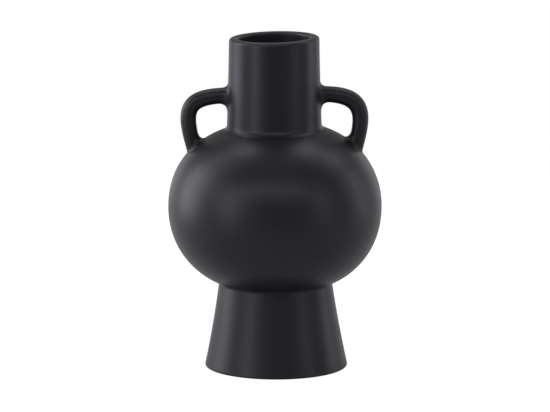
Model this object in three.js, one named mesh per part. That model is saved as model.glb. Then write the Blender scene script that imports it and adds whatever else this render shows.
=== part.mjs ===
// A two-handled vase in black glazed ceramic: a pedestal foot, a belly thrown as two bowls, a neck
// with a rounded lip and two loop handles, luted together with slip.
// Millimetres, +Z up, the handles along X, the origin in the middle of the foot's underside.
import * as THREE from "three";

// Overall sizes
const vaseHeight = 240;
const bellyRadius = 77;
const slipBed = 0.3; // the bed of slip between two luted faces, left open

// Belly: a turned form a little fuller than an ellipse, with a reach below and above its widest line
const bellyDrop = 61.9;
const bellyRise = 60.7;
const bellyHeightPower = 2.08;
const bellyRadiusPower = 2.48;
const bellyWall = 6.2;
const rimLapDepth = 4; // the spigot of the upper bowl in the rebate of the lower one
const rimLapWall = 3; // how much of the wall the spigot takes

// Neck
const neckLength = 66.3; // from the corner with the shoulder to the top of the lip
const neckRootRadius = 34.1;
const mouthRadius = 32.5;
const neckFlarePower = 1.5;
const neckWall = 6.9;
const lipOuterRound = 2.4;
const lipInnerRound = 2;
const neckCove = 4; // the cove between shoulder and neck, left on the upper bowl
const neckSpigotDepth = 4;
const neckSpigotWall = 3.2;
const throatRound = 3; // the rounded edge where the bore opens into the belly

// Foot
const waistRadius = 40.8;
const footRadius = 51.7;
const footHollowing = 0.6; // how far the flare dips inside a straight line
const footWall = 6.2;
const footEdgeRound = 2;
const footEdgeStart = -60; // degrees below level where the rounded edge begins
const footRingWidth = 5.6; // the flat ring that the vase stands on
const footRingHeight = 9; // the thickened stretch over the ring
const waistCove = 1.5; // the cove between foot and belly, left on the lower bowl
const bossDepth = 5;
const bossChamfer = 1;

// Handles: the middle line is a cubic curve in the XZ plane, from the neck out, over and down
const handleNeckHeight = 24.6; // above the corner of neck and shoulder
const handleLandingRadius = 58.2; // where the middle line meets the shoulder
const handleNeckPull = 31.8; // how far the curve is drawn out of the neck
const handleNeckDroop = 0.4;
const handleLandingPull = 27.1; // how far the curve is drawn up from the shoulder
const handleLandingLean = 7.1;
const handleNeckThickness = 11.4;
const handleMiddleThickness = 11.3;
const handleMiddle = 0.5; // where along the middle line that is, from 0 at the neck to 1 at the shoulder
const handleLandingThickness = 10.6;
const handleBreadthRatio = 1.12; // breadth across the handle to its thickness
const handleSquareness = 2.2; // 2 is an ellipse
const neckRootCove = 6.2;
const landingCove = 5; // the cove at the shoulder, on the side of the loop
const landingCoveOutside = 2.4; // the crisper cove on the outer side
const rootToe = 0.75; // how much of a cove's curve is kept before its toe is trimmed

// Where along the middle line a root is looked for: inside the wall, and clear of it
const neckRootSpan = { buried: -0.15, clear: 0.3 };
const landingSpan = { buried: 1.15, clear: 0.7 };

// Fineness of the facets
const turnSteps = 48;
const footSteps = 8;
const footBoreSteps = 5;
const bellySteps = 12;
const neckSteps = 6;
const neckBoreSteps = 4;
const roundSteps = 3;
const coveSteps = 4;
const handleSides = 20;
const handleSteps = 22;
const seatRings = 3;

// Fineness of the reckoning
const halvings = 40;
const seatingSteps = 4;
const surfaceStep = 0.05;
const pathStep = 1e-4;

// Heights that follow
const bellyToWaist = bellyReachAt(waistRadius, bellyDrop);
const bellyToNeck = bellyReachAt(neckRootRadius, bellyRise);
const waistHeight = vaseHeight - neckLength - bellyToNeck - bellyToWaist;
const bellyHeight = waistHeight + bellyToWaist;
const neckHeight = bellyHeight + bellyToNeck;
const footSeatHeight = waistHeight - waistCove;
const neckSeatHeight = neckHeight + neckCove;

const glaze = new THREE.MeshStandardMaterial({ color: 0x1d1c20, roughness: 0.42, metalness: 0 });

// Height between the belly's widest line and the circle where it has a radius.
function bellyReachAt(radius, reach) {
  return reach * (1 - (radius / bellyRadius) ** bellyRadiusPower) ** (1 / bellyHeightPower);
}

// Radius of the belly at a height, or of the hollow inside it when an inset is given.
function bellyRadiusAt(height, inset = 0) {
  const reach = (height < bellyHeight ? bellyDrop : bellyRise) - inset;
  const share = Math.min(Math.abs(height - bellyHeight) / reach, 1);
  return (bellyRadius - inset) * (1 - share ** bellyHeightPower) ** (1 / bellyRadiusPower);
}

// Height of the belly's surface over a radius: side is 1 for the shoulder, -1 for the underside.
function bellySurfaceHeight(radius, side, inset = 0) {
  const reach = (side > 0 ? bellyRise : bellyDrop) - inset;
  const share = Math.min(radius / (bellyRadius - inset), 1);
  return bellyHeight + side * reach * (1 - share ** bellyRadiusPower) ** (1 / bellyHeightPower);
}

// Outer radius of the neck at a height.
function neckRadiusAt(height) {
  const share = THREE.MathUtils.clamp((vaseHeight - height) / neckLength, 0, 1);
  return mouthRadius + (neckRootRadius - mouthRadius) * share ** neckFlarePower;
}

// Outer radius of the foot at a height.
function footRadiusAt(height) {
  const share = height / waistHeight;
  return THREE.MathUtils.lerp(footRadius, waistRadius, share) - 4 * footHollowing * share * (1 - share);
}

// Points of the belly's curve between two heights, closer together where it turns fastest.
function bellyCurve(fromHeight, toHeight, inset, steps) {
  const angleAt = (height) => {
    const reach = (height < bellyHeight ? bellyDrop : bellyRise) - inset;
    const share = Math.min(Math.abs(height - bellyHeight) / reach, 1);
    return Math.sign(height - bellyHeight) * Math.asin(share ** (bellyHeightPower / 2));
  };
  const points = [];
  for (let i = 0; i <= steps; i++) {
    const angle = THREE.MathUtils.lerp(angleAt(fromHeight), angleAt(toHeight), i / steps);
    const reach = (angle < 0 ? bellyDrop : bellyRise) - inset;
    const rise = Math.sign(angle) * reach * Math.abs(Math.sin(angle)) ** (2 / bellyHeightPower);
    points.push([bellyRadiusAt(bellyHeight + rise, inset), bellyHeight + rise]);
  }
  return points;
}

// Points of a wall between two heights, its radius given by a function.
function wallPoints(radiusAt, fromHeight, toHeight, steps) {
  return Array.from({ length: steps + 1 }, (_, i) => {
    const height = THREE.MathUtils.lerp(fromHeight, toHeight, i / steps);
    return [radiusAt(height), height];
  });
}

// Points of a curve that leaves one line and joins another, bent round their corner.
function bend(start, corner, end, steps = coveSteps) {
  const curve = new THREE.QuadraticBezierCurve(
    new THREE.Vector2(...start),
    new THREE.Vector2(...corner),
    new THREE.Vector2(...end),
  );
  return curve.getPoints(steps).map((point) => point.toArray());
}

// Points of a round edge, by its centre, its radius and its angles in degrees.
function roundEdge(radius, height, round, fromDegrees, toDegrees, steps = coveSteps) {
  return Array.from({ length: steps + 1 }, (_, i) => {
    const angle = THREE.MathUtils.degToRad(THREE.MathUtils.lerp(fromDegrees, toDegrees, i / steps));
    return [radius + round * Math.cos(angle), height + round * Math.sin(angle)];
  });
}

// A named mesh in glazed clay.
function piece(name, geometry) {
  const mesh = new THREE.Mesh(geometry, glaze);
  mesh.name = name;
  return mesh;
}

// A piece turned on the wheel from a profile of [radius, height] points.
function turnedPiece(name, profile) {
  const points = profile.map(([radius, height]) => new THREE.Vector2(radius, height));
  return piece(name, new THREE.LatheGeometry(points, turnSteps).rotateX(Math.PI / 2));
}

// The rounded edge round the bottom of the foot.
function footEdgePoints() {
  const centre = footRadiusAt(footEdgeRound) - footEdgeRound;
  return roundEdge(centre, footEdgeRound, footEdgeRound, footEdgeStart, 0, roundSteps);
}

// The pedestal: a hollow flare on a flat ring, its top rim trimmed flat for the bowl.
function makeFoot() {
  const boreAt = (height) => {
    const share = Math.max(0, 1 - height / footRingHeight);
    const ringExtra = footEdgeRound + footRingWidth - footWall;
    return footRadiusAt(height) - footWall - ringExtra * share ** 2;
  };
  const ringInside = footRadiusAt(0) - footEdgeRound - footRingWidth;
  const ringOutside = footRadiusAt(0) - footEdgeRound;
  return turnedPiece("foot", [
    [ringInside, 0],
    [ringOutside, 0],
    ...footEdgePoints(),
    ...wallPoints(footRadiusAt, footEdgeRound, footSeatHeight, footSteps).slice(1),
    ...wallPoints(boreAt, footSeatHeight, footRingHeight, footBoreSteps),
    ...wallPoints(boreAt, footRingHeight, 0, roundSteps).slice(1, -1),
    [ringInside, 0],
  ]);
}

// The lower bowl: a boss and a flat seat for the foot, the cove of the waist, and a rebated rim.
function makeLowerBowl() {
  const seat = footSeatHeight + slipBed;
  const bossRadius = footRadiusAt(footSeatHeight) - footWall - slipBed;
  const bossBottom = footSeatHeight - bossDepth;
  const coveEnd = waistRadius + waistCove;
  const coveHeight = bellySurfaceHeight(coveEnd, -1);
  const lapRadius = bellyRadius - bellyWall + rimLapWall + slipBed;
  const lapBottom = bellyHeight - rimLapDepth;
  return turnedPiece("lower_bowl", [
    [0, bossBottom],
    [bossRadius - bossChamfer, bossBottom],
    [bossRadius, bossBottom + bossChamfer],
    [bossRadius, seat],
    ...bend([footRadiusAt(seat), seat], [waistRadius, waistHeight], [coveEnd, coveHeight]),
    ...bellyCurve(coveHeight, bellyHeight, 0, bellySteps).slice(1),
    [lapRadius, bellyHeight],
    [lapRadius, lapBottom],
    ...bellyCurve(lapBottom, bellyHeight - bellyDrop + bellyWall, bellyWall, bellySteps),
  ]);
}

// The upper bowl: a spigot at the widest line, the shoulder, and the collar that takes the neck.
function makeUpperBowl() {
  const rim = bellyHeight + slipBed;
  const spigotRadius = bellyRadius - bellyWall + rimLapWall;
  const spigotBottom = bellyHeight - rimLapDepth + slipBed;
  const coveStart = neckRootRadius + neckCove;
  const boreRadius = neckRadiusAt(neckSeatHeight) - neckWall;
  const collarBore = boreRadius + neckSpigotWall + slipBed;
  const collarFloor = neckSeatHeight - neckSpigotDepth;
  const throatStart = boreRadius + throatRound;
  const throatHeight = bellySurfaceHeight(throatStart, 1, bellyWall);
  return turnedPiece("upper_bowl", [
    [spigotRadius, spigotBottom],
    [spigotRadius, rim],
    ...bellyCurve(rim, bellySurfaceHeight(coveStart, 1), 0, bellySteps),
    ...bend(
      [coveStart, bellySurfaceHeight(coveStart, 1)],
      [neckRootRadius, neckHeight],
      [neckRadiusAt(neckSeatHeight), neckSeatHeight],
    ).slice(1),
    [collarBore, neckSeatHeight],
    [collarBore, collarFloor],
    ...bend(
      [boreRadius, collarFloor],
      [boreRadius, bellySurfaceHeight(boreRadius, 1, bellyWall)],
      [throatStart, throatHeight],
      roundSteps,
    ),
    ...bellyCurve(throatHeight, bellyHeight, bellyWall, bellySteps).slice(1),
    [bellyRadius - bellyWall, spigotBottom],
    [spigotRadius, spigotBottom],
  ]);
}

// The neck: a spigot for the collar, a slow taper, and a lip rounded on both sides of a flat land.
function makeNeck() {
  const boreAt = (height) => neckRadiusAt(height) - neckWall;
  const seat = neckSeatHeight + slipBed;
  const spigotRadius = boreAt(neckSeatHeight) + neckSpigotWall;
  const spigotBottom = neckSeatHeight - neckSpigotDepth + slipBed;
  const lipBottom = vaseHeight - lipOuterRound;
  const innerLipBottom = vaseHeight - lipInnerRound;
  return turnedPiece("neck", [
    [spigotRadius, spigotBottom],
    [spigotRadius, seat],
    ...wallPoints(neckRadiusAt, seat, lipBottom, neckSteps),
    ...roundEdge(neckRadiusAt(lipBottom) - lipOuterRound, lipBottom, lipOuterRound, 0, 90).slice(1),
    ...roundEdge(boreAt(innerLipBottom) + lipInnerRound, innerLipBottom, lipInnerRound, 90, 180, roundSteps),
    ...wallPoints(boreAt, innerLipBottom, spigotBottom, neckBoreSteps).slice(1),
    [spigotRadius, spigotBottom],
  ]);
}

// A surface of the pot that a handle is luted to: how far a point stands off it, and its normal.
function turnedSurface(radiusAt) {
  const slopeAt = (height) =>
    (radiusAt(height + surfaceStep) - radiusAt(height - surfaceStep)) / (2 * surfaceStep);
  const standOff = (point) =>
    (Math.hypot(point.x, point.y) - radiusAt(point.z)) / Math.hypot(1, slopeAt(point.z));
  const normal = (point) => {
    const radius = Math.hypot(point.x, point.y);
    return new THREE.Vector3(point.x / radius, point.y / radius, -slopeAt(point.z)).normalize();
  };
  return { standOff, normal };
}

// Moves a point along the surface's normal until it stands off by the bed of slip.
function seatOn(surface, point) {
  const seated = point.clone();
  for (let i = 0; i < seatingSteps; i++)
    seated.addScaledVector(surface.normal(seated), slipBed - surface.standOff(seated));
  return seated;
}

// The middle line of a handle, carried on straight past both of its ends.
function handlePath() {
  const neckZ = neckHeight + handleNeckHeight;
  const landingZ = bellySurfaceHeight(handleLandingRadius, 1);
  const neckEnd = new THREE.Vector3(neckRadiusAt(neckZ), 0, neckZ);
  const landing = new THREE.Vector3(handleLandingRadius, 0, landingZ);
  const curve = new THREE.CubicBezierCurve3(
    neckEnd,
    new THREE.Vector3(neckEnd.x + handleNeckPull, 0, neckZ - handleNeckDroop),
    new THREE.Vector3(landing.x + handleLandingLean, 0, landingZ + handleLandingPull),
    landing,
  );
  return (t) => {
    const inside = THREE.MathUtils.clamp(t, 0, 1);
    const neighbour = inside < pathStep ? inside + pathStep : inside - pathStep;
    const along = curve.getTangent(inside);
    const speed = curve.getPoint(neighbour).distanceTo(curve.getPoint(inside)) / pathStep;
    const point = curve.getPoint(inside).addScaledVector(along, (t - inside) * speed);
    return { point, along, speed };
  };
}

// Thickness of a handle along its middle line.
function handleThicknessAt(t) {
  const { lerp, smoothstep } = THREE.MathUtils;
  return t < handleMiddle
    ? lerp(handleNeckThickness, handleMiddleThickness, smoothstep(t, 0, handleMiddle))
    : lerp(handleMiddleThickness, handleLandingThickness, smoothstep(t, handleMiddle, 1));
}

// A point on the skin of a handle before its roots are coved: the angle is 0 on the outer side.
function handleSkin(path, t, angle) {
  const { point, along } = path(t);
  const outward = new THREE.Vector3(-along.z, 0, along.x);
  const half = handleThicknessAt(t) / 2;
  const power = 2 / handleSquareness;
  const thick = half * Math.sign(Math.cos(angle)) * Math.abs(Math.cos(angle)) ** power;
  const broad = half * handleBreadthRatio * Math.sign(Math.sin(angle)) * Math.abs(Math.sin(angle)) ** power;
  return point.addScaledVector(outward, thick).add(new THREE.Vector3(0, broad, 0));
}

// Where along the middle line one line of the skin meets its bed of slip.
function meetingPlace(path, surface, angle, buried, clear) {
  let low = buried;
  let high = clear;
  for (let i = 0; i < halvings; i++) {
    const middle = (low + high) / 2;
    if (surface.standOff(handleSkin(path, middle, angle)) < slipBed) low = middle;
    else high = middle;
  }
  return (low + high) / 2;
}

// One line of a root: it leaves the skin, bends away over the surface and drops to its seat.
function rootLine(path, surface, angle, root) {
  const meeting = meetingPlace(path, surface, angle, root.buried, root.clear);
  const cove = root.coveAt(angle);
  const start = meeting + (Math.sign(root.clear - root.buried) * cove) / path(meeting).speed;
  const corner = handleSkin(path, meeting, angle);
  const outward = corner.clone().sub(path(meeting).point);
  const normal = surface.normal(corner);
  const toe = outward.addScaledVector(normal, -outward.dot(normal)).setLength(cove).add(corner);
  const curve = new THREE.QuadraticBezierCurve3(handleSkin(path, start, angle), corner, seatOn(surface, toe));
  const points = Array.from({ length: coveSteps + 1 }, (_, i) => curve.getPoint((rootToe * i) / coveSteps));
  points.push(seatOn(surface, points.at(-1)));
  return { start, points };
}

// Rings that close a root from its edge to its middle, all of them on the bed of slip.
function seatRingsOf(surface, edge, middle) {
  const rings = [];
  for (let i = 1; i < seatRings; i++)
    rings.push(edge.map((point) => seatOn(surface, point.clone().lerp(middle, i / seatRings))));
  return rings;
}

// The closed skin of a handle as rings from the seat on the neck to the seat on the shoulder.
function handleRings(path) {
  const neckSurface = turnedSurface(neckRadiusAt);
  const shoulderSurface = turnedSurface((height) => bellyRadiusAt(height));
  const neckRoot = { ...neckRootSpan, coveAt: () => neckRootCove };
  const landingCoveAt = (angle) =>
    THREE.MathUtils.lerp(landingCove, landingCoveOutside, (1 + Math.cos(angle)) / 2);
  const shoulderRoot = { ...landingSpan, coveAt: landingCoveAt };
  const lines = Array.from({ length: handleSides }, (_, side) => {
    const angle = (2 * Math.PI * side) / handleSides;
    const neckEnd = rootLine(path, neckSurface, angle, neckRoot);
    const shoulderEnd = rootLine(path, shoulderSurface, angle, shoulderRoot);
    const middle = Array.from({ length: handleSteps - 1 }, (_, i) =>
      handleSkin(path, THREE.MathUtils.lerp(neckEnd.start, shoulderEnd.start, (i + 1) / handleSteps), angle),
    );
    return [...neckEnd.points.reverse(), ...middle, ...shoulderEnd.points];
  });
  const rings = lines[0].map((_, i) => lines.map((line) => line[i]));
  const neckMiddle = seatOn(neckSurface, path(0).point);
  const shoulderMiddle = seatOn(shoulderSurface, path(1).point);
  return {
    rings: [
      ...seatRingsOf(neckSurface, rings[0], neckMiddle).reverse(),
      ...rings,
      ...seatRingsOf(shoulderSurface, rings.at(-1), shoulderMiddle),
    ],
    neckMiddle,
    shoulderMiddle,
  };
}

// A closed mesh over rings of points, with a fan of triangles at each end.
function closedLoft({ rings, neckMiddle, shoulderMiddle }) {
  const sides = rings[0].length;
  const points = [...rings.flat(), neckMiddle, shoulderMiddle];
  const first = rings.length * sides;
  const last = first + 1;
  const faces = [];
  for (let side = 0; side < sides; side++) {
    const next = (side + 1) % sides;
    for (let ring = 0; ring < rings.length - 1; ring++) {
      const [a, b] = [ring * sides + side, ring * sides + next];
      faces.push(a, b + sides, b, a, a + sides, b + sides);
    }
    faces.push(first, side, next);
    faces.push(last, first - sides + next, first - sides + side);
  }
  const geometry = new THREE.BufferGeometry().setFromPoints(points).setIndex(faces);
  geometry.computeVertexNormals();
  return geometry;
}

// A loop handle, made on the right; a half turn takes it to the left.
function makeHandle(name, halfTurns) {
  const handle = piece(name, closedLoft(handleRings(handlePath())));
  handle.rotation.z = halfTurns * Math.PI;
  return handle;
}

const vase = new THREE.Group();
vase.add(makeFoot());
vase.add(makeLowerBowl());
vase.add(makeUpperBowl());
vase.add(makeNeck());
vase.add(makeHandle("handle_right", 0));
vase.add(makeHandle("handle_left", 1));

export default vase;
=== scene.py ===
"""A two-handled pedestal vase in satin black glaze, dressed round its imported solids.

The vase is a hollow flared foot, a belly of two bowls, a neck with a rounded lip and two loop
handles.  Every surface is worked out on a grid of points: a wall section turned about the axis, or
a handle's section carried along its middle line.  One gentle kiln warp runs over all of them
alike, so pieces that meet stay together.  Metres, +Z up, the handles along X and the origin in the
middle of the foot's underside.
"""

import logging
import math
from dataclasses import dataclass, field
from enum import Enum
from typing import Callable

import bpy
import numpy as np
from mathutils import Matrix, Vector


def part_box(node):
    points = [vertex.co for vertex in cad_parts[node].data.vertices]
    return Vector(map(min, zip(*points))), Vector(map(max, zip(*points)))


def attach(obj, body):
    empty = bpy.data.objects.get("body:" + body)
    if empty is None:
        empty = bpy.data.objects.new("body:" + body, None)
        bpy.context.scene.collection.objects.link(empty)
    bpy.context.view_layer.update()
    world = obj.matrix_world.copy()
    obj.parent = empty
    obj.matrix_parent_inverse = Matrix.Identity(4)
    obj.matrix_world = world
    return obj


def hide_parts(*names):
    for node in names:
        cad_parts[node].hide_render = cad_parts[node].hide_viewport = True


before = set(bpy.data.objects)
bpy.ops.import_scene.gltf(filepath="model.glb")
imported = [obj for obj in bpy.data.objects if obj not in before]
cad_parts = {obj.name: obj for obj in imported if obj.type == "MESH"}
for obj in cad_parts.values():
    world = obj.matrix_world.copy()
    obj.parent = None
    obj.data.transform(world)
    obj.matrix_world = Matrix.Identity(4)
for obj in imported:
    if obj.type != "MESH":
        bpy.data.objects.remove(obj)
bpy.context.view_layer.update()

LOG = logging.getLogger("vase")
BODY = "root"
TURN_STEPS = 288
PHOTO_WIDTH = 550
SENSOR_WIDTH = 36.0
WHITE = (1.0, 1.0, 1.0, 1.0)

# Where the extra parameter beside an end stands, as a share of an interval
END_GUARD = 0.03

# The colour inputs and the colour output of a mix node
MIX_COLORS = (6, 7)
MIX_RESULT = 2

# How far the glaze runs thin round an edge, and how far inside the three edges that line lies
THIN_REACH = 0.0013
OUTER_LIP_INSET = (0.0011, 0.0009)
INNER_LIP_INSET = (0.0007, 0.0006)
FOOT_EDGE_INSET = (0.0006, 0.0008)

Array = np.ndarray
Socket = bpy.types.NodeSocket
Color = tuple[float, ...]
Point = tuple[float, float]
Range = tuple[float, float]
RadiusAt = Callable[[Array], Array]
WHOLE: Range = (0.0, 1.0)


class Join(Enum):
    """How a stretch of a wall section runs on into the next one."""

    SMOOTH = "smooth"
    EDGE = "edge"


class Side(Enum):
    """The side of the vase that a handle stands on, as the sign of X."""

    RIGHT = 1
    LEFT = -1


def spaced(count: int) -> Array:
    """Even parameters from 0 to 1, and one more close to each end so that normals hold there.

    Args:
        count: Number of even intervals.

    Returns:
        The parameters in rising order.
    """
    even = np.linspace(0.0, 1.0, count + 1)
    near = END_GUARD / count
    return np.concatenate([[0.0, near], even[1:-1], [1.0 - near, 1.0]])


def smooth_step(value: Array, start: float, end: float) -> Array:
    """0 before start, 1 after end, and the cubic 3s^2 - 2s^3 of the share s in between."""
    share = np.clip((value - start) / (end - start), 0.0, 1.0)
    return share * share * (3.0 - 2.0 * share)


def bend(start: Array, corner: Array, end: Array, share: Array) -> Array:
    """A curve that leaves start towards the corner and reaches end from it.

    The formula is (1-s)^2 start + 2s(1-s) corner + s^2 end, a parabola tangent to both lines.

    Args:
        start: Point or points where the curve begins, with coordinates last.
        corner: Where the two lines cross.
        end: Point or points where the curve ends.
        share: The parameters s, as a flat array.

    Returns:
        Points with the parameters as the first axis.
    """
    s = share.reshape((-1,) + (1,) * np.asarray(start).ndim)
    return (1 - s) ** 2 * start + 2 * s * (1 - s) * corner + s**2 * end


def rounded(start: Point, corner: Point, end: Point, count: int) -> Array:
    """A bend of a wall section, as points of (radius, height)."""
    return bend(np.array(start), np.array(corner), np.array(end), spaced(count))


def round_edge(centre: Point, radius: float, start: float, end: float, count: int) -> Array:
    """A round edge of a wall section: centre + radius (cos a, sin a), start and end in degrees."""
    angle = np.radians(start + (end - start) * spaced(count))
    return np.stack([centre[0] + radius * np.cos(angle), centre[1] + radius * np.sin(angle)], axis=-1)


def wall(radius_at: RadiusAt, start: float, end: float, count: int) -> Array:
    """A stretch of a wall section between two heights, its radius a function of the height."""
    height = start + (end - start) * spaced(count)
    return np.stack([radius_at(height), height], axis=-1)


def straight(start: Point, end: Point, count: int = 1) -> Array:
    """A straight stretch of a wall section: start + s (end - start), in count intervals."""
    share = spaced(count)[:, None] if count > 1 else np.array([[0.0], [1.0]])
    return np.asarray(start) + share * (np.asarray(end) - np.asarray(start))


def read(radius_at: RadiusAt, height: float) -> float:
    """Reads one radius as a plain number."""
    return float(radius_at(np.array(height)))


def show(made: bpy.types.Object) -> bpy.types.Object:
    """Links an object to the scene and gives it back."""
    bpy.context.scene.collection.objects.link(made)
    return made


def stand(made: bpy.types.Object, target: Vector, azimuth: float, elevation: float, far: float) -> None:
    """Links a lamp or a camera to the scene, turned towards its target.

    Args:
        made: The lamp or the camera.
        target: The point that it faces.
        azimuth: Its direction in degrees, 0 being the camera's side and 90 the right.
        elevation: How many degrees it stands above the target.
        far: Its distance from the target.
    """
    turn, lift = math.radians(azimuth), math.radians(elevation)
    away = Vector((math.sin(turn) * math.cos(lift), -math.cos(turn) * math.cos(lift), math.sin(lift)))
    made.location = target + away * far
    made.rotation_euler = away.to_track_quat("Z", "Y").to_euler()
    show(made)


@dataclass(frozen=True)
class VaseForm:
    """The turned form that all the pieces share.

    The belly is a form a little fuller than an ellipse: with h the distance from its widest line
    over the reach, its radius is R (1 - h^a)^(1/b).
    """

    height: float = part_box("neck")[1].z
    belly_radius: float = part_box("lower_bowl")[1].x
    belly_height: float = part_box("lower_bowl")[1].z
    foot_seat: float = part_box("foot")[1].z
    belly_drop: float = 0.0619
    belly_rise: float = 0.0607
    height_power: float = 2.08
    radius_power: float = 2.48
    belly_wall: float = 0.0062
    neck_root_radius: float = 0.0341
    mouth_radius: float = 0.0325
    neck_flare_power: float = 1.5
    neck_wall: float = 0.0069
    neck_cove: float = 0.004
    waist_radius: float = 0.0408
    waist_cove: float = 0.0015
    foot_radius: float = 0.0517
    foot_hollowing: float = 0.0006
    foot_wall: float = 0.0062

    @property
    def waist_height(self) -> float:
        """Height of the corner between foot and belly."""
        return self.foot_seat + self.waist_cove

    @property
    def neck_height(self) -> float:
        """Height of the corner between shoulder and neck."""
        return self.belly_surface(self.neck_root_radius, 1)

    @property
    def neck_seat(self) -> float:
        """Height where the neck stands on the collar of the upper bowl."""
        return self.neck_height + self.neck_cove

    def belly_radius_at(self, height: Array, inset: float = 0.0) -> Array:
        """Radius of the belly at heights, or of the hollow inside it.

        Args:
            height: Heights over the ground.
            inset: How far inside the outer surface the hollow lies.

        Returns:
            The radii, 0 past the form's poles.
        """
        reach = np.where(height < self.belly_height, self.belly_drop, self.belly_rise) - inset
        share = np.clip(np.abs(height - self.belly_height) / reach, 0.0, 1.0)
        return (self.belly_radius - inset) * (1 - share**self.height_power) ** (1 / self.radius_power)

    def belly_surface(self, radius: float, side: int, inset: float = 0.0) -> float:
        """Height of the belly's surface over a radius.

        Args:
            radius: Distance from the axis.
            side: 1 for the shoulder, -1 for the underside.
            inset: How far inside the outer surface the hollow lies.

        Returns:
            The height over the ground.
        """
        reach = (self.belly_rise if side > 0 else self.belly_drop) - inset
        share = min(radius / (self.belly_radius - inset), 1.0)
        return self.belly_height + side * reach * (1 - share**self.radius_power) ** (1 / self.height_power)

    def neck_radius_at(self, height: Array) -> Array:
        """Outer radius of the neck: it flares from the mouth down by a power of the depth."""
        share = np.clip((self.height - height) / (self.height - self.neck_height), 0.0, 1.0)
        return self.mouth_radius + (self.neck_root_radius - self.mouth_radius) * share**self.neck_flare_power

    def bore_radius_at(self, height: Array) -> Array:
        """Radius of the neck's bore, one wall inside its outer surface."""
        return self.neck_radius_at(height) - self.neck_wall

    def foot_radius_at(self, height: Array) -> Array:
        """Outer radius of the foot: a straight flare, less a shallow parabola 4ks(1-s)."""
        share = np.clip(height / self.waist_height, 0.0, 1.0)
        flare = self.foot_radius + (self.waist_radius - self.foot_radius) * share
        return flare - 4 * self.foot_hollowing * share * (1 - share)

    def belly_curve(self, start: float, end: float, inset: float, count: int) -> Array:
        """A stretch of the belly's section between two heights, even in the angle of its curve.

        The angle q has sin q = h^(a/2), so points crowd where the section turns towards a pole.

        Args:
            start: First height.
            end: Last height.
            inset: How far inside the outer surface the stretch lies.
            count: Number of even intervals.

        Returns:
            Points of (radius, height).
        """
        limits = np.array([start, end])
        reach = np.where(limits < self.belly_height, self.belly_drop, self.belly_rise) - inset
        share = np.clip(np.abs(limits - self.belly_height) / reach, 0.0, 1.0)
        first, last = np.sign(limits - self.belly_height) * np.arcsin(share ** (self.height_power / 2))
        angle = first + (last - first) * spaced(count)
        reach = np.where(angle < 0, self.belly_drop, self.belly_rise) - inset
        rise = np.sign(angle) * np.abs(np.sin(angle)) ** (2 / self.height_power) * reach
        radius = (self.belly_radius - inset) * np.abs(np.cos(angle)) ** (2 / self.radius_power)
        return np.stack([radius, self.belly_height + rise], axis=-1)


@dataclass(frozen=True)
class Lobes:
    """One wave round the pot: its lobes, its share, where it starts and its turn per metre."""

    count: int
    share: float
    start: float
    turn: float


@dataclass(frozen=True)
class KilnWarp:
    """The lean, tilt and slow waves that wheel, hand and kiln leave in a pot.

    The axis wanders sideways by smooth steps of the height, the upper part tips up on the right
    in proportion to X, and the radius has waves of two and three lobes that turn with the height.
    """

    foot_lean: float = 0.0009
    foot_step: Range = (0.0, 0.062)
    waist_lean: float = 0.00045
    waist_step: Range = (0.05, 0.115)
    neck_lean: float = -0.00055
    neck_step: Range = (0.125, 0.178)
    shoulder_tip: float = 0.015
    shoulder_step: Range = (0.14, 0.174)
    rim_tip: float = 0.009
    rim_step: Range = (0.205, 0.24)
    wave: float = 0.00005
    wave_core: float = 0.03
    waves: tuple[Lobes, ...] = (Lobes(2, 1.0, 0.7, 38.0), Lobes(3, 0.7, -1.9, -55.0))

    def bend_points(self, points: Array) -> Array:
        """Moves points as the kiln did.

        Args:
            points: An array whose last axis is (x, y, z).

        Returns:
            The moved points, in the same shape.
        """
        x, y, z = np.moveaxis(points, -1, 0)
        lean = self.foot_lean + (self.waist_lean - self.foot_lean) * smooth_step(z, *self.foot_step)
        lean = lean - self.waist_lean * smooth_step(z, *self.waist_step)
        lean = lean + self.neck_lean * smooth_step(z, *self.neck_step)
        tip = self.shoulder_tip * smooth_step(z, *self.shoulder_step)
        tip = tip + self.rim_tip * smooth_step(z, *self.rim_step)
        angle = np.arctan2(y, x)
        lobes = sum(w.share * np.sin(w.count * angle + w.start + w.turn * z) for w in self.waves)
        swell = 1 + self.wave * lobes / np.maximum(np.hypot(x, y), self.wave_core)
        return np.stack([x * swell + lean, y * swell, z + tip * x], axis=-1)


@dataclass
class WallSection:
    """A closed or axis-to-axis outline of (radius, height) points, with its hard edges."""

    points: list[Array] = field(default_factory=list)
    edges: list[int] = field(default_factory=list)

    def run(self, stretch: Array, join: Join = Join.EDGE) -> None:
        """Adds a stretch that begins where the last one ended.

        Args:
            stretch: Points of (radius, height).
            join: How the stretch runs on into the next one.
        """
        self.points.extend(stretch[1:] if self.points else stretch)
        if join is Join.EDGE:
            self.edges.append(len(self.points) - 1)

    def corners(self, *points: Point) -> None:
        """Adds straight stretches from point to point, each of which ends in a hard edge."""
        for start, end in zip(points, points[1:]):
            self.run(straight(start, end))


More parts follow.
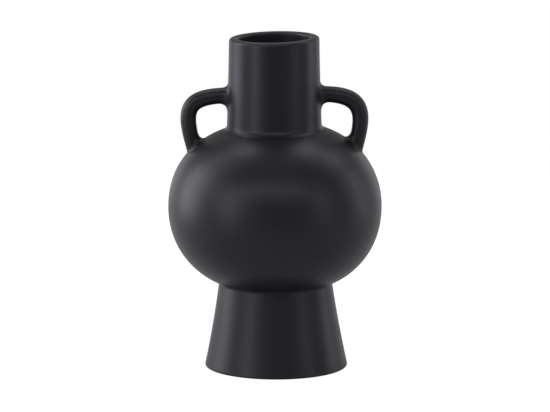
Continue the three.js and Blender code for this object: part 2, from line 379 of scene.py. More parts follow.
@dataclass(frozen=True)
class GridMesh:
    """Puts rows of points into Blender as one closed, smooth-shaded mesh object.

    The points are shaped (rows, columns, 3), and the columns close on themselves.  A hard row is a
    hard edge.  In a ring the last row runs back into the first; else both ends close in a pole.
    """

    name: str
    rows: Array
    hard_rows: list[int]
    ring: bool

    def corners(self) -> Array:
        """Four vertex numbers of each face, in an order that faces outwards."""
        count, sides = self.rows.shape[:2]
        row = np.arange(count if self.ring else count - 1)[:, None]
        column = np.arange(sides)[None, :]
        beyond, beside = (row + 1) % count, (column + 1) % sides
        here, right = row * sides + column, row * sides + beside
        above, across = beyond * sides + column, beyond * sides + beside
        return np.stack([here, right, across, above], axis=-1).reshape(-1, 4)

    def build(self) -> bpy.types.Object:
        """Makes the mesh and its object.

        Returns:
            The object, linked to the scene.
        """
        count, sides = self.rows.shape[:2]
        points = self.rows.reshape(-1, 3)
        quads = self.corners()
        fans = np.zeros((0, 3), int)
        if not self.ring:
            points = np.concatenate([points, self.rows[:1].mean(axis=1), self.rows[-1:].mean(axis=1)])
            column = np.arange(sides)
            beside = (column + 1) % sides
            pole, top = np.full(sides, count * sides), (count - 1) * sides
            under = np.stack([pole, beside, column], axis=-1)
            over = np.stack([pole + 1, top + column, top + beside], axis=-1)
            fans = np.concatenate([under, over])
        mesh = bpy.data.meshes.new(self.name)
        mesh.vertices.add(len(points))
        mesh.vertices.foreach_set("co", points.astype(np.float32).ravel())
        mesh.loops.add(quads.size + fans.size)
        mesh.loops.foreach_set("vertex_index", np.concatenate([quads.ravel(), fans.ravel()]).astype(np.int32))
        sizes = np.concatenate([np.full(len(quads), 4), np.full(len(fans), 3)])
        mesh.polygons.add(len(sizes))
        starts = np.concatenate([[0], np.cumsum(sizes)[:-1]])
        mesh.polygons.foreach_set("loop_start", starts.astype(np.int32))
        mesh.polygons.foreach_set("use_smooth", np.ones(len(sizes), bool))
        mesh.update(calc_edges=True)
        self.harden(mesh)
        mesh.validate()
        return show(bpy.data.objects.new(self.name, mesh))

    def harden(self, mesh: bpy.types.Mesh) -> None:
        """Marks the lines of a mesh's hard rows as sharp."""
        ends = np.zeros(len(mesh.edges) * 2, np.int32)
        mesh.edges.foreach_get("vertices", ends)
        row = ends.reshape(-1, 2) // self.rows.shape[1]
        sharp = (row[:, 0] == row[:, 1]) & np.isin(row[:, 0], self.hard_rows)
        mesh.edges.foreach_set("use_edge_sharp", sharp)


@dataclass(frozen=True)
class Noise:
    """The grain of a noise: its scale, its octaves and how rough they are."""

    scale: float
    detail: float
    roughness: float


class NodeTree:
    """A short way to add and join the nodes of one finish or light."""

    def __init__(self, tree: bpy.types.NodeTree) -> None:
        """Keeps a node tree and empties it."""
        self.tree = tree
        tree.nodes.clear()

    def feed(self, value: object, target: Socket) -> None:
        """Joins an output to an input, or writes a plain value into it.

        Args:
            value: The output or the value.
            target: The input.
        """
        if isinstance(value, Socket):
            self.tree.links.new(value, target)
        else:
            target.default_value = value

    def add(self, kind: str, *firsts: object, **values: object) -> bpy.types.Node:
        """Adds a node.

        Args:
            kind: The node's type, such as ShaderNodeTexNoise.
            firsts: Outputs or values for its first inputs, in their order.
            values: The same for inputs by their lower-case names, or properties of the node.

        Returns:
            The new node.
        """
        node = self.tree.nodes.new(kind)
        sockets = {s.name.lower().replace(" ", "_"): s for s in reversed(node.inputs.values())}
        for key, value in values.items():
            if key in sockets:
                self.feed(value, sockets[key])
            else:
                setattr(node, key, value)
        for value, socket in zip(firsts, node.inputs):
            self.feed(value, socket)
        return node

    def mix(self, share: Socket, first: object, second: object) -> Socket:
        """Mixes two colours.

        Args:
            share: The output that says how much of the second colour shows.
            first: A colour, or an output that gives one.
            second: The same.

        Returns:
            The mixed colour's output.
        """
        node = self.add("ShaderNodeMix", share, data_type="RGBA")
        for value, place in zip((first, second), MIX_COLORS):
            self.feed(value, node.inputs[place])
        return node.outputs[MIX_RESULT]

    def calculate(self, operation: str, first: object, second: object) -> Socket:
        """Works one value out of two, by an operation such as MAXIMUM."""
        return self.add("ShaderNodeMath", first, second, operation=operation).outputs["Value"]

    def noise(self, grain: Noise, place: Socket) -> Socket:
        """Adds a noise, read at a place."""
        return self.add("ShaderNodeTexNoise", vector=place, **vars(grain)).outputs["Fac"]

    def bump(self, height: Socket, depth: float, strength: float = 1.0, **under: Socket) -> Socket:
        """Dents the surface, where a height of 1 stands for a depth; it may lie over a normal."""
        node = self.add("ShaderNodeBump", height=height, distance=depth, strength=strength, **under)
        return node.outputs["Normal"]

    def end(self, kind: str, plain: Socket, white: Socket, share: object) -> None:
        """Ends the tree in a plain shader that the camera sees as a white one.

        Args:
            kind: The type of the output node.
            plain: The shader that lights the vase.
            white: The shader that the camera sees.
            share: How much of it glossy and transmission rays see, as a number or an output.
        """
        seen = self.add("ShaderNodeLightPath").outputs
        mirrored = self.calculate("MAXIMUM", seen["Is Glossy Ray"], seen["Is Transmission Ray"])
        part = self.calculate("MULTIPLY", mirrored, share)
        whole = self.calculate("MAXIMUM", seen["Is Camera Ray"], part)
        choice = self.add("ShaderNodeMixShader", whole, plain, white)
        self.add(kind, surface=choice.outputs["Shader"])

    def span(self, value: Socket, source: Range, target: Range) -> Socket:
        """Carries a value from one range to another, held at the ends."""
        return self.add("ShaderNodeMapRange", value, *source, *target).outputs["Result"]


def new_material(name: str) -> tuple[bpy.types.Material, NodeTree]:
    """Makes an empty material and gives it with its node tree."""
    made = bpy.data.materials.new(name)
    made.use_nodes = True
    return made, NodeTree(made.node_tree)


@dataclass(frozen=True)
class SatinGlaze:
    """A satin black glaze: blue-black where it lies thick, warmer where it thins over an edge."""

    name: str = "satin_black_glaze"
    thick: Color = (0.0070, 0.0068, 0.0090, 1.0)
    warm: Color = (0.0082, 0.0076, 0.0090, 1.0)
    thin: Color = (0.0155, 0.0127, 0.0110, 1.0)
    roughness: float = 0.42
    roughness_spread: float = 0.03
    specular: float = 0.22
    clouds: Noise = Noise(scale=22.0, detail=4.0, roughness=0.55)
    cloud_tones: Range = (0.35, 0.65)
    cloud_gloss: Range = (0.3, 0.7)
    thin_share: float = 0.5
    peel: Noise = Noise(scale=380.0, detail=2.0, roughness=0.4)
    peel_depth: float = 0.000012
    grain: Noise = Noise(scale=2400.0, detail=3.0, roughness=0.6)
    grain_depth: float = 0.000004
    pit_scale: float = 160.0
    pit_size: float = 0.09
    pit_strength: float = 0.35
    pit_depth: float = 0.00008

    def material(self) -> bpy.types.Material:
        """Makes the glaze as a material.

        Slow clouds of noise turn the colour from blue-black to warm black and the gloss with it.
        The skin has an orange peel, a finer grain, and here and there the dimple of a pinhole.

        Returns:
            The material.
        """
        made, nodes = new_material(self.name)
        place = nodes.add("ShaderNodeTexCoord").outputs["Object"]
        clouds = nodes.noise(self.clouds, place)
        pits = nodes.add("ShaderNodeTexVoronoi", scale=self.pit_scale, randomness=1.0, vector=place)
        thin = nodes.add("ShaderNodeAttribute", attribute_name="glaze_thin").outputs["Fac"]
        body = nodes.mix(nodes.span(clouds, self.cloud_tones, WHOLE), self.thick, self.warm)
        edge = nodes.span(thin, WHOLE, (0.0, self.thin_share))
        low, high = self.roughness - self.roughness_spread, self.roughness + self.roughness_spread
        pit = nodes.span(pits.outputs["Distance"], (0.0, self.pit_size), WHOLE)
        skin = nodes.bump(nodes.noise(self.peel, place), self.peel_depth)
        fine = nodes.bump(nodes.noise(self.grain, place), self.grain_depth, normal=skin)
        shader = nodes.add(
            "ShaderNodeBsdfPrincipled",
            base_color=nodes.mix(edge, body, self.thin),
            roughness=nodes.span(clouds, self.cloud_gloss, (high, low)),
            specular_ior_level=self.specular,
            normal=nodes.bump(pit, self.pit_depth, self.pit_strength, normal=fine),
        )
        nodes.add("ShaderNodeOutputMaterial", surface=shader.outputs["BSDF"])
        made.diffuse_color = self.thick
        return made


@dataclass(frozen=True)
class BareClay:
    """The unglazed clay of the foot ring: buff, dry and sandy."""

    name: str = "bare_clay"
    light: Color = (0.36, 0.30, 0.245, 1.0)
    dark: Color = (0.24, 0.19, 0.15, 1.0)
    roughness: float = 0.88
    sand: Noise = Noise(scale=900.0, detail=5.0, roughness=0.65)
    sand_tones: Range = (0.35, 0.7)
    sand_strength: float = 0.6
    sand_depth: float = 0.00012

    def material(self) -> bpy.types.Material:
        """Makes the clay as a material: two tones of fired clay with grains of sand in it.

        Returns:
            The material.
        """
        made, nodes = new_material(self.name)
        sand = nodes.noise(self.sand, nodes.add("ShaderNodeTexCoord").outputs["Object"])
        shader = nodes.add(
            "ShaderNodeBsdfPrincipled",
            base_color=nodes.mix(nodes.span(sand, self.sand_tones, WHOLE), self.light, self.dark),
            roughness=self.roughness,
            normal=nodes.bump(sand, self.sand_depth, self.sand_strength),
        )
        nodes.add("ShaderNodeOutputMaterial", surface=shader.outputs["BSDF"])
        made.diffuse_color = self.light
        return made


@dataclass
class Piece:
    """One piece of clay: it stands for one solid and rides on the vase's body."""

    form: VaseForm
    warp: KilnWarp
    glaze: bpy.types.Material
    node: str

    def thin_glaze(self, points: Array) -> Array:
        """How far the glaze has run thin: a bell of the distance to the lip's and foot's edges.

        Args:
            points: Points before the warp, with (x, y, z) last.

        Returns:
            A number from 0 to 1 for each point.
        """
        form = self.form
        x, y, z = np.moveaxis(points, -1, 0)
        rims = (
            (form.mouth_radius - OUTER_LIP_INSET[0], form.height - OUTER_LIP_INSET[1]),
            (form.mouth_radius - form.neck_wall + INNER_LIP_INSET[0], form.height - INNER_LIP_INSET[1]),
            (form.foot_radius - FOOT_EDGE_INSET[0], FOOT_EDGE_INSET[1]),
        )
        away = np.min([np.hypot(np.hypot(x, y) - radius, z - height) for radius, height in rims], axis=0)
        return np.exp(-((away / THIN_REACH) ** 2))

    def finish(self, rows: Array, hard_rows: list[int], ring: bool) -> bpy.types.Object:
        """Warps a grid, makes it a mesh, glazes it and puts it in its node's place.

        Args:
            rows: Points shaped (rows, columns, 3).
            hard_rows: Rows whose own line is a hard edge.
            ring: True where the last row runs back into the first.

        Returns:
            The finished object.
        """
        piece = GridMesh("glazed_" + self.node, self.warp.bend_points(rows), hard_rows, ring).build()
        mesh = piece.data
        mesh.materials.append(self.glaze)
        thin = mesh.attributes.new("glaze_thin", "FLOAT", "POINT")
        values = np.zeros(len(mesh.vertices), np.float32)
        values[: rows.shape[0] * rows.shape[1]] = self.thin_glaze(rows).ravel()
        thin.data.foreach_set("value", values)
        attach(piece, BODY)
        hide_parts(self.node)
        LOG.info("%s: %d faces", piece.name, len(mesh.polygons))
        return piece


@dataclass
class TurnedPiece(Piece):
    """A piece turned on the wheel: its wall section runs round the axis."""

    lap_depth: float = 0.004
    lap_wall: float = 0.003
    spigot_depth: float = 0.004
    spigot_wall: float = 0.0032
    bed: float = 0.00005
    belly_steps: int = 110
    hollow_steps: int = 60

    def section(self) -> WallSection:
        """Each kind of piece gives its own wall section."""
        raise NotImplementedError

    def build(self) -> bpy.types.Object:
        """Turns the wall section: a point (r, z) becomes (r cos a, r sin a, z) for angles a.

        Returns:
            The finished object.
        """
        section = self.section()
        ring = bool(section.points[0][0] > 0)
        shift = 0 if ring else 1
        profile = np.array(section.points[shift:-1])
        kept = [edge for edge in section.edges if shift <= edge < len(section.points) - shift]
        hard_rows = [(edge - shift) % len(profile) for edge in kept]
        angle = np.linspace(0.0, 2 * np.pi, TURN_STEPS, endpoint=False)
        radius, height = profile[:, :1], profile[:, 1:]
        rows = np.stack([radius * np.cos(angle), radius * np.sin(angle), height + 0 * angle], axis=-1)
        return self.finish(rows, hard_rows, ring)


@dataclass
class Foot(TurnedPiece):
    """The hollow pedestal: a flare on a flat ring, with the ring's underside left bare."""

    edge_round: float = 0.002
    ring_width: float = 0.0056
    ring_height: float = 0.009
    bare_height: float = 0.00025
    ring_steps: int = 6
    edge_steps: int = 8
    flare_steps: int = 90
    bore_steps: int = 50
    clay: bpy.types.Material | None = None

    def bore_radius_at(self, height: Array) -> Array:
        """Radius of the hollow: one wall inside the flare, less a square step over the ring."""
        share = np.clip(1 - height / self.ring_height, 0.0, 1.0)
        extra = self.edge_round + self.ring_width - self.form.foot_wall
        return self.form.foot_radius_at(height) - self.form.foot_wall - extra * share**2

    def section(self) -> WallSection:
        """From the ring's inner edge out, up the flare, over the rim and down the hollow."""
        form = self.form
        inside = form.foot_radius - self.edge_round - self.ring_width
        outside = form.foot_radius - self.edge_round
        flare = (read(form.foot_radius_at, self.edge_round), self.edge_round)
        top = read(form.foot_radius_at, form.foot_seat)
        edge = rounded((outside, 0.0), (form.foot_radius, 0.0), flare, self.edge_steps)
        section = WallSection()
        section.run(straight((inside, 0.0), (outside, 0.0), self.ring_steps), Join.SMOOTH)
        section.run(edge, Join.SMOOTH)
        section.run(wall(form.foot_radius_at, self.edge_round, form.foot_seat, self.flare_steps))
        section.corners((top, form.foot_seat), (top - form.foot_wall, form.foot_seat))
        section.run(wall(self.bore_radius_at, form.foot_seat, 0.0, self.bore_steps))
        return section

    def build(self) -> bpy.types.Object:
        """Builds the foot and gives the faces of its standing ring the bare clay."""
        piece = super().build()
        mesh = piece.data
        mesh.materials.append(self.clay)
        centre = np.zeros(len(mesh.polygons) * 3, np.float32)
        mesh.polygons.foreach_get("center", centre)
        bare = centre.reshape(-1, 3)[:, 2] < self.bare_height
        mesh.polygons.foreach_set("material_index", bare.astype(np.int32))
        mesh.update()
        return piece


@dataclass
class LowerBowl(TurnedPiece):
    """The lower half of the belly: the boss, the cove of the waist and the rebated rim."""

    boss_depth: float = 0.005
    boss_gap: float = 0.0003
    floor_steps: int = 4
    cove_steps: int = 10

    def section(self) -> WallSection:
        """From the boss's middle out, round the belly to its widest line and back inside."""
        form = self.form
        seat = form.foot_seat
        widest = form.belly_height
        skin = read(form.foot_radius_at, seat)
        boss = skin - form.foot_wall - self.boss_gap
        low = seat - self.boss_depth
        cove_end = form.waist_radius + form.waist_cove
        cove_height = form.belly_surface(cove_end, -1)
        corner = (form.waist_radius, form.waist_height)
        lap = form.belly_radius - form.belly_wall + self.lap_wall + self.bed
        lap_low = widest - self.lap_depth
        floor = widest - form.belly_drop + form.belly_wall
        inner = form.belly_curve(lap_low, floor, form.belly_wall, self.hollow_steps)
        section = WallSection()
        section.run(straight((0.0, low), (boss, low), self.floor_steps))
        section.corners((boss, low), (boss, seat), (skin, seat))
        section.run(rounded((skin, seat), corner, (cove_end, cove_height), self.cove_steps), Join.SMOOTH)
        section.run(form.belly_curve(cove_height, widest, 0.0, self.belly_steps))
        section.corners((form.belly_radius, widest), (lap, widest), (lap, lap_low), tuple(inner[0]))
        section.run(inner)
        return section


@dataclass
class UpperBowl(TurnedPiece):
    """The upper half of the belly: the spigot, the shoulder and the collar under the neck."""

    throat_round: float = 0.003
    cove_steps: int = 12
    throat_steps: int = 10
    lap_steps: int = 2

    def section(self) -> WallSection:
        """From the spigot out, over the shoulder to the collar, and back down the hollow."""
        form = self.form
        seat, widest = form.neck_seat, form.belly_height
        spigot = form.belly_radius - form.belly_wall + self.lap_wall
        low = widest - self.lap_depth + self.bed
        cove_start = form.neck_root_radius + form.neck_cove
        cove_height = form.belly_surface(cove_start, 1)
        skin = read(form.neck_radius_at, seat)
        corner = (form.neck_root_radius, form.neck_height)
        bore = read(form.bore_radius_at, seat)
        collar = bore + self.spigot_wall + self.bed
        floor = seat - self.spigot_depth
        throat = bore + self.throat_round
        throat_end = (throat, form.belly_surface(throat, 1, form.belly_wall))
        throat_corner = (bore, form.belly_surface(bore, 1, form.belly_wall))
        inner = form.belly_curve(throat_end[1], widest, form.belly_wall, self.hollow_steps)
        hollow = inner[-1][0]
        section = WallSection()
        section.corners((spigot, low), (spigot, widest), (form.belly_radius, widest))
        section.run(form.belly_curve(widest, cove_height, 0.0, self.belly_steps), Join.SMOOTH)
        section.run(rounded((cove_start, cove_height), corner, (skin, seat), self.cove_steps))
        section.corners((skin, seat), (collar, seat), (collar, floor), (bore, floor))
        section.run(rounded((bore, floor), throat_corner, throat_end, self.throat_steps), Join.SMOOTH)
        section.run(inner, Join.SMOOTH)
        section.run(straight(tuple(inner[-1]), (hollow, low), self.lap_steps))
        section.corners((hollow, low), (spigot, low))
        return section


@dataclass
class Neck(TurnedPiece):
    """The neck: a slow taper under a lip that is rounded on both sides of a flat land."""

    lip_outer: float = 0.0024
    lip_inner: float = 0.002
    wall_steps: int = 80
    bore_steps: int = 60
    lip_outer_steps: int = 16
    lip_inner_steps: int = 14
    land_steps: int = 5

    def section(self) -> WallSection:
        """From the spigot out, up the neck, over the lip and down the bore."""
        form = self.form
        seat = form.neck_seat
        spigot = read(form.bore_radius_at, seat) + self.spigot_wall
        low = seat - self.spigot_depth + self.bed
        lip = form.height - self.lip_outer
        inner_lip = form.height - self.lip_inner
        outer_centre = (read(form.neck_radius_at, lip) - self.lip_outer, lip)
        inner_centre = (read(form.bore_radius_at, inner_lip) + self.lip_inner, inner_lip)
        land = straight((outer_centre[0], form.height), (inner_centre[0], form.height), self.land_steps)
        section = WallSection()
        section.corners((spigot, low), (spigot, seat), (read(form.neck_radius_at, seat), seat))
        section.run(wall(form.neck_radius_at, seat, lip, self.wall_steps), Join.SMOOTH)
        section.run(round_edge(outer_centre, self.lip_outer, 0.0, 90.0, self.lip_outer_steps), Join.SMOOTH)
        section.run(land, Join.SMOOTH)
        section.run(round_edge(inner_centre, self.lip_inner, 90.0, 180.0, self.lip_inner_steps), Join.SMOOTH)
        section.run(wall(form.bore_radius_at, inner_lip, low, self.bore_steps))
        section.corners((read(form.bore_radius_at, low), low), (spigot, low))
        return section


@dataclass(frozen=True)
class LutedSurface:
    """A turned surface that a handle is luted to."""

    radius_at: RadiusAt
    step: float = 0.00005
    drops: int = 4

    def slope(self, height: Array) -> Array:
        """How fast the radius grows with the height, by a central difference."""
        return (self.radius_at(height + self.step) - self.radius_at(height - self.step)) / (2 * self.step)

    def stand_off(self, points: Array) -> Array:
        """Distance of points from the surface: (r - R(z)) / sqrt(1 + R'(z)^2), below 0 inside."""
        x, y, z = np.moveaxis(points, -1, 0)
        return (np.hypot(x, y) - self.radius_at(z)) / np.sqrt(1 + self.slope(z) ** 2)

    def normal(self, points: Array) -> Array:
        """Outward normals at points: (x/r, y/r, -R'(z)), made one long."""
        x, y, z = np.moveaxis(points, -1, 0)
        radius = np.hypot(x, y)
        raw = np.stack([x / radius, y / radius, -self.slope(z)], axis=-1)
        return raw / np.linalg.norm(raw, axis=-1, keepdims=True)

    def drop(self, points: Array, clearance: float) -> Array:
        """Moves points along their normals until they stand off by a clearance."""
        for _ in range(self.drops):
            points = points + (clearance - self.stand_off(points))[..., None] * self.normal(points)
        return points


@dataclass(frozen=True)
class HandPull:
    """How far one hand-pulled handle strays from the mean of the pair."""

    neck_pull: float = 0.0
    landing_radius: float = 0.0
    landing_lean: float = 0.0
    thickness: float = 0.0


@dataclass
class Handle(Piece):
    """A loop handle, pulled by hand: it leaves the neck, turns over and lands on the shoulder.

    Its section is a superellipse.  Every line along its skin ends in a cove that leaves the skin,
    turns in a parabola and runs out on the surface that the handle is luted to.
    """

    side: Side = Side.RIGHT
    hand_pull: HandPull = HandPull()
    neck_rise: float = 0.0246
    landing_radius: float = 0.0582
    neck_pull: float = 0.0318
    neck_droop: float = 0.0004
    landing_pull: float = 0.0271
    landing_lean: float = 0.0071
    neck_thickness: float = 0.0114
    middle_thickness: float = 0.0116
    middle_place: float = 0.4
    landing_thickness: float = 0.0109
    breadth_ratio: float = 1.12
    squareness: float = 2.2
    neck_cove: float = 0.0078
    neck_cove_outside: float = 0.0048
    landing_cove: float = 0.0086
    landing_cove_outside: float = 0.0026
    toe_sink: float = 0.00004
    root_sink: float = 0.0012
    neck_span: Range = (-0.15, 0.3)
    landing_span: Range = (1.15, 0.7)
    halvings: int = 40
    sides: int = 96
    steps: int = 110
    cove_steps: int = 16

    def path(self, t: Array) -> tuple[Array, Array, Array]:
        """The middle line, a cubic curve carried on straight past both of its ends.

        Args:
            t: Parameters, 0 at the neck and 1 at the shoulder.

        Returns:
            Points, unit directions and speeds, with the parameters' shape.
        """
        form = self.form
        neck_z = form.neck_height + self.neck_rise
        neck_x = read(form.neck_radius_at, neck_z)
        landing_x = self.landing_radius + self.hand_pull.landing_radius
        landing_z = form.belly_surface(landing_x, 1)
        pull = self.neck_pull + self.hand_pull.neck_pull
        lean = self.landing_lean + self.hand_pull.landing_lean
        control = np.array([
            [neck_x, 0.0, neck_z],
            [neck_x + pull, 0.0, neck_z - self.neck_droop],
            [landing_x + lean, 0.0, landing_z + self.landing_pull],
            [landing_x, 0.0, landing_z],
        ])
        held = np.clip(t, 0.0, 1.0)[..., None]
        left = 1 - held
        weights = np.concatenate([left**3, 3 * held * left**2, 3 * held**2 * left, held**3], axis=-1)
        slopes = np.concatenate([left**2, 2 * held * left, held**2], axis=-1)
        velocity = 3 * slopes @ np.diff(control, axis=0)
        point = weights @ control + (t[..., None] - held) * velocity
        speed = np.linalg.norm(velocity, axis=-1)
        return point, velocity / speed[..., None], speed

    def thickness(self, t: Array) -> Array:
        """Thickness along the middle line: two smooth steps, neck to middle to landing."""
        middle = self.middle_thickness + self.hand_pull.thickness
        landing = self.landing_thickness + self.hand_pull.thickness
        first = (middle - self.neck_thickness) * smooth_step(t, 0.0, self.middle_place)
        second = (landing - middle) * smooth_step(t, self.middle_place, 1.0)
        return self.neck_thickness + first + second

    def skin(self, t: Array, angle: Array) -> Array:
        """Points of the skin: the middle line, plus the section |cos|^(2/n), |sin|^(2/n).

        Args:
            t: Parameters along the middle line.
            angle: Angles round the section, 0 on the outer side.

        Returns:
            Points with (x, y, z) last.
        """
        point, along, _ = self.path(t)
        half = self.thickness(t) / 2
        power = 2 / self.squareness
        cos, sin = np.cos(angle), np.sin(angle)
        thick = half * np.sign(cos) * np.abs(cos) ** power
        broad = half * self.breadth_ratio * np.sign(sin) * np.abs(sin) ** power
        outward = np.stack([-along[..., 2], 0 * t, along[..., 0]], axis=-1)
        return point + thick[..., None] * outward + broad[..., None] * np.array([0.0, 1.0, 0.0])

    def root(self, surface: LutedSurface, angle: Array, span: Range, cove: Array) -> tuple[Array, Array]:
        """The coved end of every line of the skin.

        The line's meeting with the surface is halved in on between a buried and a clear place.
        From there the cove is a parabola: it starts a cove's length up the skin, has its corner
        at the meeting and its toe a cove's length out over the surface, sunk by a hair.  A last
        row lies inside the wall.

        Args:
            surface: What the handle is luted to.
            angle: Angles round the section.
            span: A parameter inside the surface, and one outside it.
            cove: Length of the cove at each angle.

        Returns:
            Where the coves start, and their rows from the skin to the wall's inside.
        """
        low, high = (np.full(angle.shape, end) for end in span)
        for _ in range(self.halvings):
            middle = (low + high) / 2
            inside = surface.stand_off(self.skin(middle, angle)) < 0
            low, high = np.where(inside, middle, low), np.where(inside, high, middle)
        corner = self.skin(high, angle)
        centre, _, speed = self.path(high)
        start = high + math.copysign(1.0, span[1] - span[0]) * cove / speed
        normal = surface.normal(corner)
        outward = corner - centre
        outward = outward - (outward * normal).sum(axis=-1, keepdims=True) * normal
        outward = outward / np.linalg.norm(outward, axis=-1, keepdims=True)
        toe = surface.drop(corner + cove[:, None] * outward, -self.toe_sink)
        share = np.linspace(0.0, 1.0, self.cove_steps + 1)
        rows = bend(self.skin(start, angle), corner, toe, share)
        sunk = rows[-1:] - self.root_sink * surface.normal(rows[-1:])
        return start, np.concatenate([rows, sunk])

    def build(self) -> bpy.types.Object:
        """Lofts the handle from inside the neck's wall to inside the shoulder's.

        Returns:
            The finished object.
        """
        form = self.form
        angle = np.linspace(0.0, 2 * np.pi, self.sides, endpoint=False)
        inner = ((1 - np.cos(angle)) / 2) ** 2
        saddle = self.neck_cove_outside + (self.neck_cove - self.neck_cove_outside) * inner
        crisp = self.landing_cove_outside + (self.landing_cove - self.landing_cove_outside) * inner
        neck, shoulder = LutedSurface(form.neck_radius_at), LutedSurface(form.belly_radius_at)
        neck_start, neck_rows = self.root(neck, angle, self.neck_span, saddle)
        landing_start, landing_rows = self.root(shoulder, angle, self.landing_span, crisp)
        share = np.linspace(0.0, 1.0, self.steps + 1)[1:-1, None]
        t = neck_start + share * (landing_start - neck_start)
        middle = self.skin(t, np.broadcast_to(angle, t.shape))
        sign = self.side.value
        rows = np.concatenate([neck_rows[::-1], middle, landing_rows]) * np.array([sign, sign, 1.0])
        return self.finish(rows[:, ::-1], [1, len(rows) - 2], ring=False)


@dataclass(frozen=True)
class Softbox:
    """A soft lamp on a stand, placed by its direction from the vase."""

    name: str
    azimuth: float
    elevation: float
    width: float
    height: float
    radiance: float
    distance: float = 2.2
    color: Color = (0.94, 0.93, 1.0)

    def build(self, target: Vector, level: float) -> None:
        """Hangs the lamp, facing its target; its power is radiance x area x pi.

        Args:
            target: The point that the lamp faces.
            level: How far the whole studio is turned up, 1 being the lamp's own radiance.
        """
        light = bpy.data.lights.new(self.name, "AREA")
        light.shape = "RECTANGLE"
        light.size, light.size_y = self.width, self.height
        light.energy = level * self.radiance * self.width * self.height * math.pi
        light.color = self.color
        lamp = bpy.data.objects.new(self.name, light)
        stand(lamp, target, self.azimuth, self.elevation, self.distance)


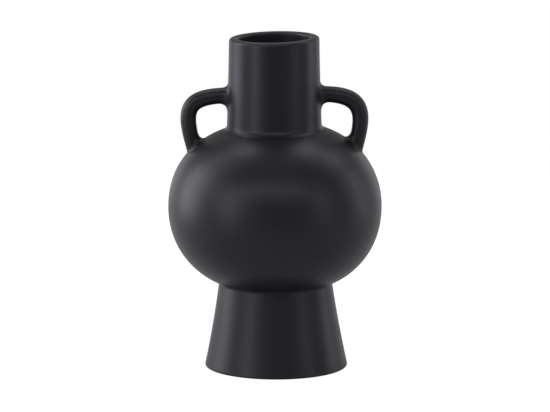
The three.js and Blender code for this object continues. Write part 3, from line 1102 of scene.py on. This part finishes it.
@dataclass
class Studio:
    """The white sweep, the soft lamps and the camera."""

    form: VaseForm
    camera_distance: float = 3.279
    camera_lift: float = 10.40
    camera_aim: float = 0.11705
    camera_reach: float = 50.0
    pixels_per_metre: float = 1387.0
    floor_size: float = 1.6
    floor_shade: float = 0.55
    seen_shade: float = 0.12
    seen_glow: float = 0.95
    mirrored_share: float = 0.35
    lamp_level: float = 2.2
    room_front: float = 0.1
    backdrop_start: float = 0.6
    backdrop_full: float = 0.9
    # Name, azimuth and elevation in degrees, width and height in metres, radiance
    softboxes: tuple[Softbox, ...] = (
        Softbox("key_left", -106.0, 14.0, 1.2, 1.8, 2.9),
        Softbox("wing_left", -149.0, 3.0, 1.0, 0.85, 0.5),
        Softbox("wing_right", 147.0, 5.0, 1.0, 1.0, 0.5),
        Softbox("upper_left", -108.0, 48.0, 1.0, 0.7, 1.2),
        Softbox("top_left", -148.0, 65.0, 0.94, 0.62, 2.6),
        Softbox("top_right", 140.0, 64.0, 0.94, 0.58, 2.6),
        Softbox("upper_right", 115.0, 45.0, 0.7, 0.62, 2.0),
        Softbox("strip_right", 106.0, 8.0, 0.66, 1.87, 1.8),
        Softbox("strip_front_left", -49.0, 8.0, 0.5, 1.87, 3.6),
        Softbox("strip_front_right", 54.0, 12.0, 0.5, 1.5, 1.6),
        Softbox("bank_front", 0.0, 37.0, 3.0, 0.42, 2.4),
        Softbox("side_left", -68.0, 21.0, 0.4, 0.75, 1.1),
        Softbox("top_front", 5.0, 77.0, 1.2, 0.4, 0.6),
    )

    def build_camera(self) -> None:
        """Puts the camera at the photograph's distance, height and lens."""
        data = bpy.data.cameras.new("camera")
        data.sensor_fit = "HORIZONTAL"
        data.sensor_width = SENSOR_WIDTH
        data.lens = self.pixels_per_metre * self.camera_distance / PHOTO_WIDTH * SENSOR_WIDTH
        data.clip_end = self.camera_reach
        camera = bpy.data.objects.new("camera", data)
        stand(camera, Vector((0.0, 0.0, self.camera_aim)), 0.0, self.camera_lift, self.camera_distance)
        bpy.context.scene.camera = camera

    def build_floor(self) -> None:
        """Lays the pale floor: it takes the vase's shadow, and looks white to the camera."""
        half = self.floor_size / 2
        corners = [(-half, -half, 0), (half, -half, 0), (half, half, 0), (-half, half, 0)]
        mesh = bpy.data.meshes.new("floor")
        mesh.from_pydata(corners, [], [(0, 1, 2, 3)])
        made, nodes = new_material("pale_floor")
        cloth = nodes.add("ShaderNodeBsdfDiffuse", color=(self.floor_shade,) * 3 + (1.0,))
        veil = nodes.add("ShaderNodeBsdfDiffuse", color=(self.seen_shade,) * 3 + (1.0,))
        glow = nodes.add("ShaderNodeEmission", strength=self.seen_glow)
        white = nodes.add("ShaderNodeAddShader", veil.outputs["BSDF"], glow.outputs["Emission"])
        cloth_shader, white_shader = cloth.outputs["BSDF"], white.outputs["Shader"]
        nodes.end("ShaderNodeOutputMaterial", cloth_shader, white_shader, self.mirrored_share)
        mesh.materials.append(made)
        floor = show(bpy.data.objects.new("floor", mesh))

    def build_room(self) -> None:
        """Paints a white backdrop, which the glaze mirrors where it stands behind the vase."""
        world = bpy.data.worlds.new("room")
        bpy.context.scene.world = world
        world.use_nodes = True
        nodes = NodeTree(world.node_tree)
        place = nodes.add("ShaderNodeTexCoord").outputs["Generated"]
        depth = nodes.add("ShaderNodeSeparateXYZ", place).outputs["Y"]
        behind = nodes.span(depth, (self.backdrop_start, self.backdrop_full), (0.0, self.mirrored_share))
        room, backdrop = (
            nodes.add("ShaderNodeBackground", color=WHITE, strength=strength).outputs["Background"]
            for strength in (self.room_front, 1.0)
        )
        nodes.end("ShaderNodeOutputWorld", room, backdrop, behind)

    def build(self) -> None:
        """Sets the whole studio up."""
        self.build_camera()
        self.build_floor()
        self.build_room()
        target = Vector((0.0, 0.0, self.form.belly_height))
        for box in self.softboxes:
            box.build(target, self.lamp_level)
        bpy.context.scene.view_settings.view_transform = "Standard"
        LOG.info("studio: %d softboxes", len(self.softboxes))


def main() -> None:
    """Builds the vase from the foot up, then the studio round it."""
    logging.basicConfig(level=logging.INFO, format="%(name)s %(message)s")
    form, warp = VaseForm(), KilnWarp()
    glaze, clay = SatinGlaze().material(), BareClay().material()
    right_pull = HandPull(neck_pull=-0.0032, landing_radius=0.0001, landing_lean=0.0009, thickness=0.0004)
    left_pull = HandPull(landing_radius=-0.0002, landing_lean=-0.0003, thickness=0.0001)
    pieces: list[Piece] = [
        Foot(form, warp, glaze, "foot", clay=clay),
        LowerBowl(form, warp, glaze, "lower_bowl"),
        UpperBowl(form, warp, glaze, "upper_bowl"),
        Neck(form, warp, glaze, "neck"),
        Handle(form, warp, glaze, "handle_right", side=Side.RIGHT, hand_pull=right_pull),
        Handle(form, warp, glaze, "handle_left", side=Side.LEFT, hand_pull=left_pull),
    ]
    for piece in pieces:
        piece.build()
    Studio(form).build()


if __name__ == "__main__":
    main()
